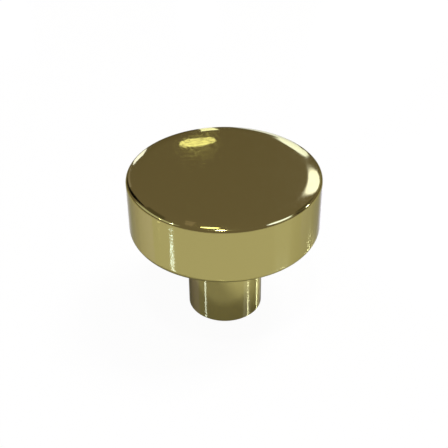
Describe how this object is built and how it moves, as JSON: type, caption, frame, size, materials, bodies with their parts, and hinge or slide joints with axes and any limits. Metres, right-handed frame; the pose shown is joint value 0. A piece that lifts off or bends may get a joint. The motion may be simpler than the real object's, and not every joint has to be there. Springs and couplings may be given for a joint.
{
  "type": "cabinet knob",
  "caption": "Flat round knob on a plain round stem, turned in one piece from polished brass, with a tapped fixing hole in its base.",
  "frame": {"origin": "centre of the base, in the plane that seats on the door or drawer front", "axes": "+Z along the turning axis, from the base to the top of the head; X and Y lie in the base and are alike"},
  "size_m": [0.03, 0.03, 0.025],
  "materials": {
    "polished_brass": "polished"
  },
  "bodies": {
    "root": {"knob": "polished_brass"}
  },
  "joints": []
}
